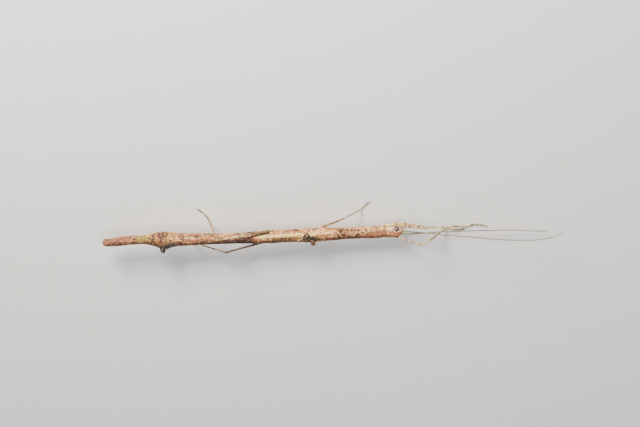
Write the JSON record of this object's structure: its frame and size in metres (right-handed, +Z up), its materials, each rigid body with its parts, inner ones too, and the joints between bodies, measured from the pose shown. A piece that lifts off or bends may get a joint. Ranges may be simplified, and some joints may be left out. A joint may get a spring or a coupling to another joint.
{
  "type": "stick insect",
  "caption": "Wingless stick insect at life size, standing with its legs and feelers stretched along its slim, bark-coloured body.",
  "frame": {"origin": "centre of the bounding box's base, on the floor under the insect", "axes": "+X along the body toward the head and feelers, +Y to the insect's left, +Z up toward its back"},
  "size_m": [0.1506, 0.0164, 0.012],
  "materials": {
    "thorax_cuticle": "matt, finely grained",
    "abdomen_cuticle": "matt, finely grained, with dark flecks",
    "tail_cuticle": "matt, finely grained",
    "head_cuticle": "matt with a faint sheen",
    "antenna_cuticle": "matt, faintly banded",
    "femur_cuticle": "matt, finely grained",
    "tibia_cuticle": "matt, banded light and dark",
    "foot_cuticle": "matt",
    "regrown_cuticle": "matt, with pale flecks",
    "eye": "glossy"
  },
  "bodies": {
    "root": {"abdomen_1": "abdomen_cuticle", "abdomen_10": "tail_cuticle", "abdomen_2": "abdomen_cuticle", "abdomen_3": "abdomen_cuticle", "abdomen_4": "abdomen_cuticle", "abdomen_5": "abdomen_cuticle", "abdomen_6": "abdomen_cuticle", "abdomen_7": "abdomen_cuticle", "abdomen_8": "tail_cuticle", "abdomen_9": "tail_cuticle", "antenna_base_left": "antenna_cuticle", "antenna_base_right": "antenna_cuticle", "antenna_left_1": "antenna_cuticle", "antenna_left_2": "antenna_cuticle", "antenna_right_1": "antenna_cuticle", "antenna_right_2": "antenna_cuticle", "cercus_left": "tail_cuticle", "cercus_right": "tail_cuticle", "coxa_fore_left": "femur_cuticle", "coxa_fore_right": "femur_cuticle", "coxa_hind_left": "femur_cuticle", "coxa_hind_right": "femur_cuticle", "coxa_mid_left": "femur_cuticle", "coxa_mid_right": "femur_cuticle", "egg_plate": "tail_cuticle", "eye_left": "eye", "eye_right": "eye", "femur_fore_left": "femur_cuticle", "femur_fore_right": "femur_cuticle", "femur_hind_left": "femur_cuticle", "femur_hind_right": "femur_cuticle", "femur_mid_left": "femur_cuticle", "femur_mid_right": "regrown_cuticle", "head": "head_cuticle", "knob": "abdomen_cuticle", "mesothorax": "thorax_cuticle", "metathorax": "thorax_cuticle", "mouth": "head_cuticle", "palp_left": "head_cuticle", "palp_right": "head_cuticle", "prothorax": "thorax_cuticle", "tarsus_fore_left": "foot_cuticle", "tarsus_fore_right": "foot_cuticle", "tarsus_hind_left": "foot_cuticle", "tarsus_hind_right": "foot_cuticle", "tarsus_mid_left": "foot_cuticle", "tarsus_mid_right": "foot_cuticle", "tibia_fore_left": "tibia_cuticle", "tibia_fore_right": "tibia_cuticle", "tibia_hind_left": "tibia_cuticle", "tibia_hind_right": "tibia_cuticle", "tibia_mid_left": "tibia_cuticle", "tibia_mid_right": "regrown_cuticle"}
  },
  "joints": []
}
